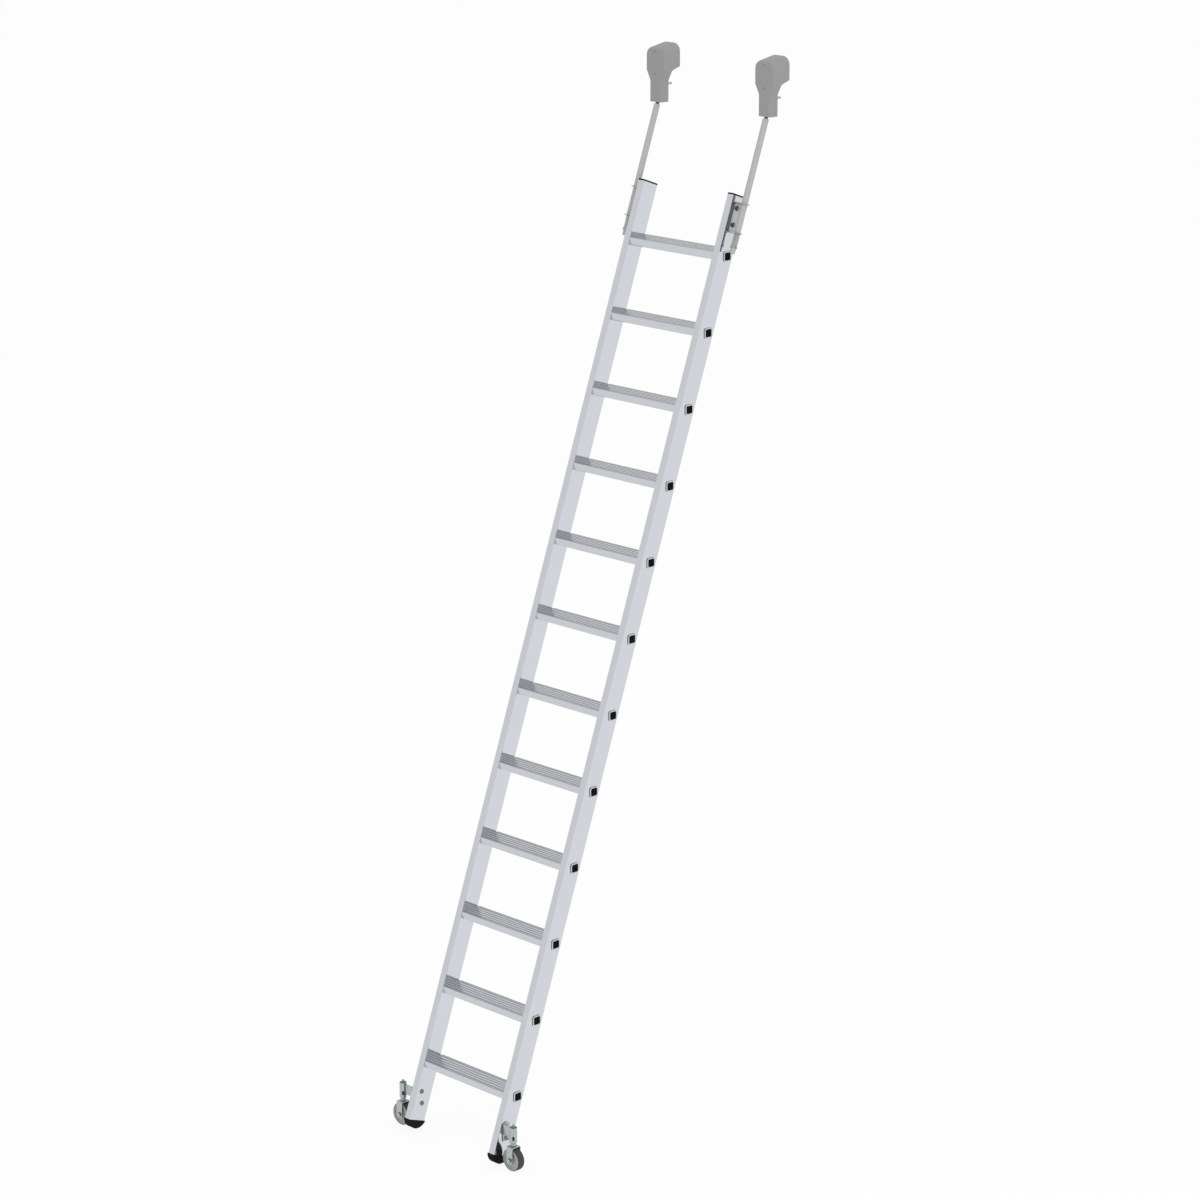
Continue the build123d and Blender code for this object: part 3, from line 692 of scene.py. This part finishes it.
def shank_loops(radius, low, high, bevel=0.0008):
    """Bolt's shank between two heights, with its lower end turned off."""
    return [round_loop(radius - bevel, low), round_loop(radius, low + bevel), round_loop(radius, high)]


def nut_loops(size):
    """Nut on the plane Z = 0, with its bore open at the top."""
    radius, dip, floor = size.bolt_radius, 0.0002, 0.0003
    return ([round_loop(radius, dip)] + hex_loops(size.hex_flats, 0, size.nut_height)
            + [round_loop(radius, size.nut_height - dip), round_loop(radius, floor)])


def bolt_loops(size, shank):
    """Bolt whose head stands on the plane Z = 0 and whose shank hangs below it."""
    return shank_loops(size.bolt_radius, -shank, 0) + hex_loops(size.hex_flats, 0, size.head_height)


def dome_loops(size):
    """Screw with a domed head on the plane Z = 0, and a hexagon socket in it."""
    head, socket = size.dome_radius, hexagon(size.dome_socket)
    mouth, floor = 0.004, 0.0016
    dome = [round_loop(head * cos(angle), size.dome_rim + size.dome_height * sin(angle))
            for angle in (0, 0.35, 0.7, 1.0)]
    return (shank_loops(size.bolt_radius, -size.dome_shank, 0) + [round_loop(head, 0)] + dome
            + [round_loop(socket, mouth), round_loop(socket, floor)])


def cross_loops(head):
    """Small screw's head on the plane Z = 0, with a cross recess."""
    foot, rim, top, floor = -0.002, 0.0003, 0.0007, 0.0001
    crown, arm, waist, half_angle = head * 0.8, head * 0.62, head * 0.2, 0.2

    def cross(angle):
        return arm if abs((angle + pi / 4) % (pi / 2) - pi / 4) < half_angle else waist

    return [round_loop(head, foot), round_loop(head, rim), round_loop(crown, top), round_loop(cross, top),
            round_loop(cross, floor)]


def box_loop(width, depth, corner, height):
    """Loop of a rectangle with round corners."""
    points = []
    per = AROUND // 4
    for quarter, (sx, sy) in enumerate(((1, 1), (-1, 1), (-1, -1), (1, -1))):
        for i in range(per):
            angle = pi / 2 * (quarter + i / (per - 1))
            points.append((sx * (width / 2 - corner) + corner * cos(angle),
                           sy * (depth / 2 - corner) + corner * sin(angle), height))
    return points


def plug_loops(size):
    """Step's end plug with a thin flange on the plane Z = 0 and a dimple in its face."""
    bevel, seat, face = 0.0002, 0.0002, size.plug_face
    wide, high, corner = size.plug_width, size.plug_height, size.plug_corner
    brim_wide, brim_high, brim = [value + share * size.plug_flange
                                  for value, share in ((wide, 2), (high, 2), (corner, 1))]
    dimple, wall, floor = size.plug_dimple, 0.86, 0.5
    return [box_loop(high, wide, corner, -size.plug_depth), box_loop(high, wide, corner, seat),
            box_loop(brim_high, brim_wide, brim, seat),
            box_loop(brim_high, brim_wide, brim, face - bevel),
            box_loop(brim_high - 2 * bevel, brim_wide - 2 * bevel, brim - bevel, face),
            round_loop(dimple, face), round_loop(dimple * wall, 0), round_loop(dimple * floor, 0)]


def cap_loops(size, width, depth, height):
    """Cap under the plane Z = 0, whose skirt goes over a stile's end and whose plug goes into it."""
    bevel, plug_corner = 0.0008, 0.001
    corner, base = size.cap_corner + size.cap_over, -size.cap_plate - size.cap_skirt
    wide, deep = [value + 2 * size.cap_over for value in (width, depth)]
    plug_wide, plug_deep = [value - 2 * size.cap_wall for value in (width, depth)]
    return [box_loop(plug_wide, plug_deep, plug_corner, -height),
            box_loop(plug_wide, plug_deep, plug_corner, base),
            box_loop(wide, deep, corner, base),
            box_loop(wide, deep, corner, -bevel),
            box_loop(wide - 2 * bevel, deep - 2 * bevel, corner - bevel, 0)]


def turned_box(points, along):
    """Middle and three sizes of points in a box that is turned about X, so that its height lies along a
    direction."""
    middle, sizes = Vector(), []
    for axis in (RIGHT, along.cross(RIGHT), along):
        spans = [point.dot(axis) for point in points]
        middle += axis * (min(spans) + max(spans)) / 2
        sizes.append(max(spans) - min(spans))
    return middle, sizes


def solids(node, side, along):
    """Middles of a node's solids on one side of the ladder, in their order along a direction."""
    points = [vertex.co for vertex in NODES[node].data.vertices if vertex.co.x * side > 0]
    points.sort(key=lambda point: point.dot(along))
    groups = [[points[0]]]
    for last, point in zip(points, points[1:]):
        if (point - last).dot(along) > APART:
            groups.append([])
        groups[-1].append(point)
    return [turned_box(group, along)[0] for group in groups]


def middle_of(node):
    """Middle of a node's box."""
    low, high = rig.box(node)
    return (low + high) / 2


def settle(piece, body, slot, nodes=()):
    """Fix a finished piece to a body, with its slot and the nodes that it stands for."""
    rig.ride(piece, body)
    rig.slot(piece, slot)
    if nodes:
        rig.replaces(piece, *nodes)


def paint(finish, *names):
    """Give CAD nodes their finish."""
    for name in names:
        for slot in NODES[name].material_slots:
            slot.material = finish


def both(*names):
    """Names of nodes that come as a left and a right one."""
    return [f"{side}_{name}" for side in SIDES for name in names]


def joined(name, parts):
    """One mesh from several, at the origin."""
    bm = bmesh.new()
    finish = parts[0].data.materials[0]
    for part in parts:
        bm.from_mesh(part.data)
        bpy.data.objects.remove(part)
    mesh = bpy.data.meshes.new(name)
    bm.to_mesh(mesh)
    bm.free()
    mesh.materials.append(finish)
    made = bpy.data.objects.new(name, mesh)
    bpy.context.scene.collection.objects.link(made)
    return made


def row(name, shape, finish, first, pitch=(0, 0, 0), count=1, turn=(0, 0, 0)):
    """Row of a shape as one mesh."""
    values = {"Count": count, "First": first, "Pitch": pitch, "Shape": shape, "Turn": turn, "Finish": finish}
    return grow(name, RECIPES["row"], values)


def thread(name, finish, radius, pitch, span, place):
    """Ridge of a thread on a shank, placed by a matrix on its lower end."""
    values = {"Turns": span / pitch, "Radius": radius, "Length": span, "Wire": pitch * RIDGE_SHARE,
              "Closed turns": 0.0, "Sides": RIDGE_SIDES, "Finish": finish}
    made = grow(name, RECIPES["coil"], values, smooth=False)
    made.data.transform(place)
    return made


def bolt_thread(finish, size, place):
    """End of a bolt's thread over its nut."""
    radius, span = size.bolt_radius - BOLT_SUNK, size.thread_end - BOLT_SHORT
    return thread("ridge", finish, radius, size.thread_pitch, span, place)


def coil_spring(name, finish, turns, radius, wire, span, place):
    """Spring with one closed turn at each end, placed by a matrix on its lower end."""
    values = {"Turns": turns, "Radius": radius, "Length": span, "Wire": wire, "Closed turns": 1.0,
              "Sides": WIRE_SIDES, "Finish": finish}
    made = grow(name, RECIPES["coil"], values)
    made.data.transform(place)
    return made


def facing_out(side, lean=0.0):
    """Turn that lays a shape's Z axis along X, away from the ladder, in line with a lean."""
    return tuple((Matrix.Rotation(-lean, 3, "X") @ Matrix.Rotation(side * pi / 2, 3, "Y")).to_euler())


class LADDER_OT_finishes(Operator):
    """Make the finishes and recipes that the other pieces use"""

    bl_idname = "ladder.finishes"
    bl_label = "Finishes"

    def execute(self, context):
        shade = context.scene.ladder_colours
        along = (-LEAN, 0, 0)
        FINISHES.update(
            stile=drawn_metal("bright_anodised_tube", shade.stile, (1, 1, 0.004), along),
            step=tread_metal("extruded_step", shade.tread, shade.riser, context.scene.ladder_sizes),
            zinc=plated_metal("zinc_plating", shade.zinc),
            # The plates take painted shade on their edges and inside the guide tubes
            plate=plated_metal("plated_sheet", shade.zinc, other=shade.cut, mask=edge_and_bore_shade),
            # Painted shade: behind its tube's slot the plunger takes the dark steel colour
            plunger=plated_metal("greased_plunger", shade.zinc, other=shade.dark, mask=shaded),
            # Painted highlight: the nuts take a lighter copy of the zinc, without crevice shade
            bright=plated_metal("bright_zinc", share_of(shade.zinc, NUT_HIGHLIGHT), roughness=0.3, crevice=1.0),
            steel=plated_metal("grey_steel", shade.steel, roughness=0.3),
            dark=plated_metal("blackened_steel", shade.dark, roughness=0.35),
            rod=drawn_metal("satin_rod", shade.rod, (0.02, 0.02, 1), along, roughness=0.55, metallic=0.2),
            wire=drawn_metal("bright_wire", shade.wire, (0.5, 0.5, 0.5), along, roughness=0.25),
            hook=moulded("grey_hook_moulding", shade.hook, roughness=0.5),
            roller=moulded("pale_roller_moulding", shade.roller, roughness=0.4),
            black=moulded("black_moulding", shade.black, roughness=0.45, spread=0.2, gloss=0.05),
            foot=moulded("foot_rubber", shade.foot, roughness=0.65, spread=0.3, depth=0.0006, gloss=0.15),
            hub=moulded("grey_hub_moulding", shade.hub, roughness=0.42),
            tyre=moulded("tyre_rubber", shade.tyre, roughness=0.6, spread=0.12, depth=0.0005, gloss=0.25,
                         other=shade.hub, mask=rim_flanges),
        )
        RECIPES.update(row=row_recipe(), coil=coil_recipe())
        return {"FINISHED"}


class LADDER_OT_stiles(Operator):
    """Finish the stiles and their feet, and cap the stiles"""

    bl_idname = "ladder.stiles"
    bl_label = "Stiles"

    def execute(self, context):
        size = context.scene.ladder_sizes
        paint(FINISHES["stile"], *both("stile"))
        paint(FINISHES["foot"], *both("foot"))
        for name in SIDES:
            node = f"{name}_top_cap"
            middle, sizes = turned_box([vertex.co for vertex in NODES[node].data.vertices], UP)
            cap = loops_mesh(f"{name}_end_cap", FINISHES["black"], cap_loops(size, *sizes))
            cap.data.transform(Matrix.Translation(middle + UP * sizes[2] / 2) @ TILT)
            settle(cap, "ladder", SLOT_OF[node], [node])
        return {"FINISHED"}


class LADDER_OT_steps(Operator):
    """Finish the grooved steps"""

    bl_idname = "ladder.steps"
    bl_label = "Steps"

    def execute(self, context):
        paint(FINISHES["step"], *STEPS)
        return {"FINISHED"}


class LADDER_OT_end_plugs(Operator):
    """Close the steps' spigots with dimpled plugs"""

    bl_idname = "ladder.end_plugs"
    bl_label = "End plugs"

    def execute(self, context):
        size = context.scene.ladder_sizes
        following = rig.box(STEPS[1])[0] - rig.box(STEPS[0])[0]
        lowest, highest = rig.box("step_end_plugs")
        black = FINISHES["black"]
        plug = loops_mesh("plug", black, plug_loops(size))
        rows = []
        for name, side in SIDES.items():
            first = (side * highest.x, lowest.y + size.plug_width / 2, lowest.z + size.plug_height / 2)
            turn = facing_out(side)
            rows.append(row(f"{name}_plugs", plug, black, first, following, len(STEPS), turn))
        bpy.data.objects.remove(plug)
        settle(joined("end_plugs", rows), "ladder", SLOT_OF["step_end_plugs"], ["step_end_plugs"])
        return {"FINISHED"}


class LADDER_OT_brackets(Operator):
    """Finish the castor brackets and hook brackets, and bolt them to the stiles"""

    bl_idname = "ladder.brackets"
    bl_label = "Brackets"

    def execute(self, context):
        size = context.scene.ladder_sizes
        bright, steel = FINISHES["bright"], FINISHES["steel"]
        paint(FINISHES["plate"], *both("castor_bracket", "hook_bracket"))
        nut = loops_mesh("nut", bright, nut_loops(size))
        bolt = loops_mesh("bolt", steel, bolt_loops(size, size.bolt_shank))
        screw = loops_mesh("screw", steel, dome_loops(size))
        nut_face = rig.box("castor_bracket_nuts")[1].x - size.nut_height
        inner_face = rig.box("right_stile")[0].x
        nut_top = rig.box("castor_bracket_bolts")[1].x - size.thread_end
        head_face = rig.box("hook_bracket_bolts")[1].x - size.head_height
        nuts, screws, bolts, ridges = [], [], [], []
        for name, side in SIDES.items():
            places = solids("castor_bracket_nuts", side, Vector((0, 0, 1)))
            first, pitch, count = places[0].copy(), places[1] - places[0], len(places)
            first.x = side * nut_face
            nuts.append(row(f"{name}_nuts", nut, bright, first, pitch, count, facing_out(side)))
            first.x = side * inner_face
            screws.append(row(f"{name}_screws", screw, steel, first, pitch, count, facing_out(-side)))
            for place in places:
                place.x = side * nut_top
                turn = Matrix.Translation(place) @ Matrix.Rotation(side * pi / 2, 4, "Y")
                ridges.append(bolt_thread(steel, size, turn))
            places = solids("hook_bracket_bolts", side, UP)
            first, pitch, count = places[0].copy(), places[1] - places[0], len(places)
            first.x = side * head_face
            bolts.append(row(f"{name}_bolts", bolt, steel, first, pitch, count, facing_out(side, LEAN)))
        for shape in (nut, bolt, screw):
            bpy.data.objects.remove(shape)
        slot = SLOT_OF["castor_bracket_nuts"]
        settle(joined("bracket_nuts", nuts), "ladder", slot, ["castor_bracket_nuts"])
        settle(joined("bracket_screws", screws + ridges), "ladder", slot, ["castor_bracket_bolts"])
        settle(joined("hook_bolts", bolts), "ladder", slot, ["hook_bracket_bolts"])
        return {"FINISHED"}


class LADDER_OT_castors(Operator):
    """Finish the castors and fit their axles, nuts and springs"""

    bl_idname = "ladder.castors"
    bl_label = "Castors"

    def execute(self, context):
        size = context.scene.ladder_sizes
        zinc = FINISHES["zinc"]
        paint(zinc, *both("castor_guide_pin", "wheel_bush"))
        paint(FINISHES["plunger"], *both("castor_fork"))
        paint(FINISHES["hub"], *both("wheel_hub"))
        paint(FINISHES["tyre"], *both("wheel_tyre"))
        nut = loops_mesh("nut", zinc, nut_loops(size))
        for name in SIDES:
            self.stem(name, size, zinc, nut)
            self.axle(name, size, zinc, nut)
            self.spring(name, size)
        bpy.data.objects.remove(nut)
        return {"FINISHED"}

    def stem(self, name, size, zinc, nut):
        """Nut on the guide rod over the tube, and the rod's thread over the nut."""
        body, node = f"{name}_castor", f"{name}_castor_stem_nut"
        slot = SLOT_OF["left_castor_fork"]
        low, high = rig.box(f"{name}_castor_stem_nut")
        middle = middle_of(node)
        settle(row(f"{name}_stem_nut", nut, zinc, (middle.x, middle.y, low.z)), body, slot, [node])
        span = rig.box(f"{name}_castor_fork")[1].z - high.z - STEM_SHORT
        place = Matrix.Translation((middle.x, middle.y, high.z))
        radius = size.bolt_radius - STEM_SUNK
        settle(thread(f"{name}_stem_thread", zinc, radius, size.thread_pitch, span, place), body, slot)

    def axle(self, name, size, zinc, nut):
        """Bolt through the fork and the wheel, with its nut."""
        node = f"{name}_wheel_axle"
        low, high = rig.box(f"{name}_wheel_axle")
        middle = middle_of(node)
        head_face, nut_top = low.y + size.head_height, high.y - size.thread_end
        bolt = loops_mesh("bolt", zinc, bolt_loops(size, high.y - head_face))
        head = row("head", bolt, zinc, (middle.x, head_face, middle.z), turn=(pi / 2, 0, 0))
        bpy.data.objects.remove(bolt)
        first = (middle.x, nut_top - size.nut_height, middle.z)
        back = row("back", nut, zinc, first, turn=(-pi / 2, 0, 0))
        place = Matrix.Translation((middle.x, nut_top, middle.z)) @ Matrix.Rotation(-pi / 2, 4, "X")
        parts = [head, back, bolt_thread(zinc, size, place)]
        settle(joined(f"{name}_axle", parts), f"{name}_castor", SLOT_OF["left_castor_fork"], [node])

    def spring(self, name, size):
        """Spring round the guide rod, which shortens as the plunger rises."""
        joint = JOINTS[f"{name}_castor_slide"]
        node = f"{name}_castor_spring"
        low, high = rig.box(f"{name}_castor_spring")
        run = high.z - low.z
        anchor = Vector(((low.x + high.x) / 2, (low.y + high.y) / 2, high.z))
        place = Matrix.Translation((anchor.x, anchor.y, low.z))
        spring = coil_spring(f"{name}_plunger_spring", FINISHES["dark"], CASTOR_TURNS, size.castor_coil,
                             size.castor_wire, run, place)
        settle(spring, "ladder", SLOT_OF[node], [node])
        keep = 1 - joint["range_m"][1] / run
        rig.squash(spring, joint["name"], axis=(0, 0, 1), anchor=anchor, keep=keep)


class LADDER_OT_hooks(Operator):
    """Finish the rods and hooks, and fit their springs and screws"""

    bl_idname = "ladder.hooks"
    bl_label = "Hooks"

    def execute(self, context):
        size = context.scene.ladder_sizes
        steel = FINISHES["steel"]
        paint(FINISHES["zinc"], *both("rod_washer", "rod_cross_pin", "roller_axle", "anti_lift_pin"))
        # Dark steel on the studs: their own blackened colour, and partly painted shade for the shade in the gap under
        # the hooks
        paint(FINISHES["dark"], *both("rod_stud"))
        paint(FINISHES["rod"], *both("rod"))
        paint(FINISHES["hook"], *both("hook_housing"))
        paint(FINISHES["roller"], *both("roller"))
        screw = loops_mesh("screw", steel, cross_loops(size.screw_radius))
        for name in SIDES:
            self.spring(name, size)
            low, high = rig.box(f"{name}_hook_housing")
            first = ((low.x + high.x) / 2, low.y, low.z + size.screw_low)
            pitch = (0, 0, size.screw_spacing)
            screws = row(f"{name}_hook_screws", screw, steel, first, pitch, count=2, turn=(pi / 2, 0, 0))
            settle(screws, f"{name}_hook", SLOT_OF[f"{name}_rod_stud"])
        bpy.data.objects.remove(screw)
        return {"FINISHED"}

    def spring(self, name, size):
        """Spring between a rod's cross pin and its bracket, which shortens as the rod rises."""
        joint = JOINTS[f"{name}_rod_slide"]
        node = f"{name}_rod_spring"
        low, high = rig.box(f"{name}_rod_cross_pin")
        base = middle_of(f"{name}_rod_cross_pin") + UP * ((high.z - low.z) / 2 + size.washer)
        run = size.rod_run
        spring = coil_spring(f"{name}_hook_spring", FINISHES["wire"], ROD_TURNS, size.rod_coil, size.rod_wire,
                             run, Matrix.Translation(base) @ TILT)
        settle(spring, "ladder", SLOT_OF[node], [node])
        keep = 1 - joint["range_m"][1] / run
        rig.squash(spring, joint["name"], axis=UP, anchor=base + UP * run, keep=keep)


class LADDER_OT_stage(Operator):
    """Set the floor, the light and the camera"""

    bl_idname = "ladder.stage"
    bl_label = "Stage"

    def execute(self, context):
        stage = context.scene.ladder_stage
        context.scene.view_settings.view_transform = "Standard"
        self.floor(stage)
        self.world(context, stage)
        self.lamp(context, stage)
        self.camera(context, stage)
        return {"FINISHED"}

    def floor(self, stage):
        """Pale floor that shows white to the camera and in the metal, and keeps a soft shadow."""
        half = stage.floor_size / 2
        corners = [(-half, -half, 0), (half, -half, 0), (half, half, 0), (-half, half, 0)]
        mesh = bpy.data.meshes.new("floor")
        mesh.from_pydata(corners, [], [(0, 1, 2, 3)])
        floor = bpy.data.objects.new("floor", mesh)
        bpy.context.scene.collection.objects.link(floor)
        finish = Finish("pale_floor", roughness=0.9)
        tint = finish.tint(stage.floor_colour, spread=0.01, mask=finish.grain(FLOOR_CLOUDS))
        finish.feed("Base Color", tint)
        kinds = ("Is Camera Ray", "Is Glossy Ray")
        camera, glossy = [finish.node("ShaderNodeLightPath", out=kind) for kind in kinds]
        share = camera * stage.whiteness + glossy * stage.whiteness
        white = finish.node("ShaderNodeEmission", None, {"Color": (1, 1, 1, 1), "Strength": 1.0})
        mixed = finish.node("ShaderNodeMixShader", None, {0: share, 1: finish.lit, 2: white})
        finish.tree.links.new(mixed.link, finish.end.inputs["Surface"])
        mesh.materials.append(finish.material)
        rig.stage(floor)

    def world(self, context, stage):
        """White surroundings for the camera and the metal, and a plain level of light on the object."""
        world = bpy.data.worlds.new("studio")
        world.use_nodes = True
        world.node_tree.nodes.clear()
        nodes = Nodes(world.node_tree)
        kinds = ("Is Camera Ray", "Is Glossy Ray", "Is Transmission Ray")
        camera, glossy, through = [nodes.node("ShaderNodeLightPath", out=kind) for kind in kinds]
        strength = stage.ambient + camera.most(through) * (1 - stage.ambient)
        strength = strength + glossy * (stage.mirrored - stage.ambient)
        sky = nodes.node("ShaderNodeBackground", None, {"Color": (1, 1, 1, 1), "Strength": strength})
        nodes.node("ShaderNodeOutputWorld", None, {"Surface": sky}, out=None)
        context.scene.world = world

    def lamp(self, context, stage):
        """Large soft lamp that the metal doesn't mirror."""
        light = bpy.data.lights.new("key", "AREA")
        light.size = stage.key_size
        light.energy = stage.key_power
        holder = bpy.data.objects.new("key", light)
        context.scene.collection.objects.link(holder)
        holder.visible_glossy = False
        holder.location = stage.key_place
        ahead = Vector(stage.key_aim) - Vector(stage.key_place)
        holder.rotation_euler = ahead.to_track_quat("-Z", "Y").to_euler()

    def camera(self, context, stage):
        """Camera that sees the ladder as the photo does."""
        camera = bpy.data.cameras.new("view")
        camera.lens = stage.lens
        camera.sensor_width = SENSOR
        camera.clip_end = VIEW_END
        holder = bpy.data.objects.new("view", camera)
        context.scene.collection.objects.link(holder)
        ahead = Vector((-sin(stage.camera_turn) * cos(stage.camera_drop),
                        cos(stage.camera_turn) * cos(stage.camera_drop), -sin(stage.camera_drop)))
        holder.location = stage.camera_place
        holder.rotation_euler = ahead.to_track_quat("-Z", "Y").to_euler()
        context.scene.camera = holder


GROUPS = {"ladder_sizes": LadderSizes, "ladder_colours": LadderColours, "ladder_stage": LadderStage}
OPERATORS = (LADDER_OT_finishes, LADDER_OT_stiles, LADDER_OT_steps, LADDER_OT_end_plugs, LADDER_OT_brackets,
             LADDER_OT_castors, LADDER_OT_hooks, LADDER_OT_stage)


class LADDER_PT_panel(Panel):
    """Panel that lists the ladder's pieces, sizes and colours"""

    bl_idname = "LADDER_PT_panel"
    bl_label = "Mobile step ladder"
    bl_space_type = "VIEW_3D"
    bl_region_type = "UI"
    bl_category = "Ladder"

    def draw(self, context):
        for operator in OPERATORS:
            self.layout.operator(operator.bl_idname)
        for group in GROUPS:
            values = getattr(context.scene, group)
            for name in type(values).__annotations__:
                self.layout.prop(values, name)


def register():
    """Register the classes and give each scene the property groups."""
    for group in GROUPS.values():
        bpy.utils.register_class(group)
    for name, group in GROUPS.items():
        setattr(bpy.types.Scene, name, PointerProperty(type=group))
    for made in (*OPERATORS, LADDER_PT_panel):
        bpy.utils.register_class(made)


def unregister():
    """Take back what register does."""
    for made in (LADDER_PT_panel, *reversed(OPERATORS)):
        bpy.utils.unregister_class(made)
    for name, group in GROUPS.items():
        delattr(bpy.types.Scene, name)
        bpy.utils.unregister_class(group)


def main():
    """Make every piece and the stage, and note the sizes of the CAD and of the finished ladder."""
    register()
    bpy.ops.ladder.finishes()
    bpy.ops.ladder.stiles()
    bpy.ops.ladder.steps()
    bpy.ops.ladder.end_plugs()
    bpy.ops.ladder.brackets()
    bpy.ops.ladder.castors()
    bpy.ops.ladder.hooks()
    bpy.ops.ladder.stage()
    bpy.context.view_layer.update()
    sizes = {"cad": CAD_BOX, "visual": [list(corner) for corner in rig.bounds()]}
    with open("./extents.json", "w") as file:
        json.dump(sizes, file)


if __name__ == "__main__":
    main()
